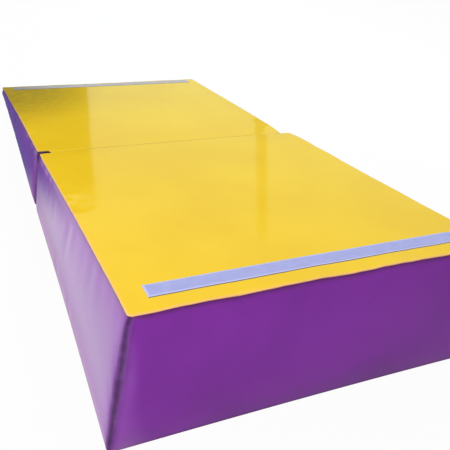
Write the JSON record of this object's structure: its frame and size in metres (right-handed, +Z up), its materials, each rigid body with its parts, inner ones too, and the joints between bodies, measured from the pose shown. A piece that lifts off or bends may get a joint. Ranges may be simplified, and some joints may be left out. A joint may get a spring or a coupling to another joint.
{
  "type": "folding foam slant board",
  "caption": "Soft vinyl-covered foam wedge whose low half folds over onto its high half on a sewn hinge in the top sheet and is held shut by hook-and-loop strips.",
  "frame": {"origin": "on the floor under the middle of the unfolded board", "axes": "+X across the board to the right as seen from the high end, +Y along the board from the high end to the low end, +Z up"},
  "size_m": [1, 2, 0.42],
  "materials": {
    "top_vinyl": "glossy",
    "side_vinyl": "glossy",
    "loop_tape": "napped",
    "hook_tape": "bristly",
    "core_foam": "matte",
    "soft_foam": "matte",
    "zip_tape": "woven",
    "zip_teeth": "satin",
    "zip_slider": "satin"
  },
  "bodies": {
    "high_wedge": {"high_core_slab_1": "core_foam", "high_core_slab_2": "core_foam", "high_core_slab_3": "core_foam", "high_core_slab_4": "core_foam", "high_top_layer": "soft_foam", "high_top_panel": "top_vinyl", "high_left_panel": "side_vinyl", "high_right_panel": "side_vinyl", "high_end_panel": "side_vinyl", "high_bottom_panel": "side_vinyl", "high_mid_panel_upper": "side_vinyl", "high_mid_panel_lower": "side_vinyl", "loop_strip": "loop_tape", "hinge_web": "top_vinyl", "high_zip_tape_upper": "zip_tape", "high_zip_tape_lower": "zip_tape", "high_zip_coil_upper": "zip_teeth", "high_zip_coil_lower": "zip_teeth", "high_zip_stops": "zip_teeth"},
    "low_wedge": {"low_core_slab_1": "core_foam", "low_core_slab_2": "core_foam", "low_top_layer": "soft_foam", "low_top_panel": "top_vinyl", "low_left_panel": "side_vinyl", "low_right_panel": "side_vinyl", "low_end_panel": "side_vinyl", "low_bottom_panel": "side_vinyl", "low_mid_panel_upper": "side_vinyl", "low_mid_panel_lower": "side_vinyl", "hook_strip": "hook_tape", "low_zip_tape_upper": "zip_tape", "low_zip_tape_lower": "zip_tape", "low_zip_coil_upper": "zip_teeth", "low_zip_coil_lower": "zip_teeth", "low_zip_stops": "zip_teeth"},
    "high_slider": {"high_zip_slider": "zip_slider"},
    "low_slider": {"low_zip_slider": "zip_slider"}
  },
  "joints": [
    {"name": "fold", "type": "hinge", "parent": "high_wedge", "child": "low_wedge", "pos_m": [0, 0.01549, 0.22717], "axis": [1, 0, 0], "range_deg": [0, 179.9], "deforming": ["hinge_web"]},
    {"name": "high_zip", "type": "slide", "parent": "high_wedge", "child": "high_slider", "axis": [-1, 0, 0], "range_m": [0, 0.888]},
    {"name": "low_zip", "type": "slide", "parent": "low_wedge", "child": "low_slider", "axis": [1, 0, 0], "range_m": [0, 0.888]}
  ]
}
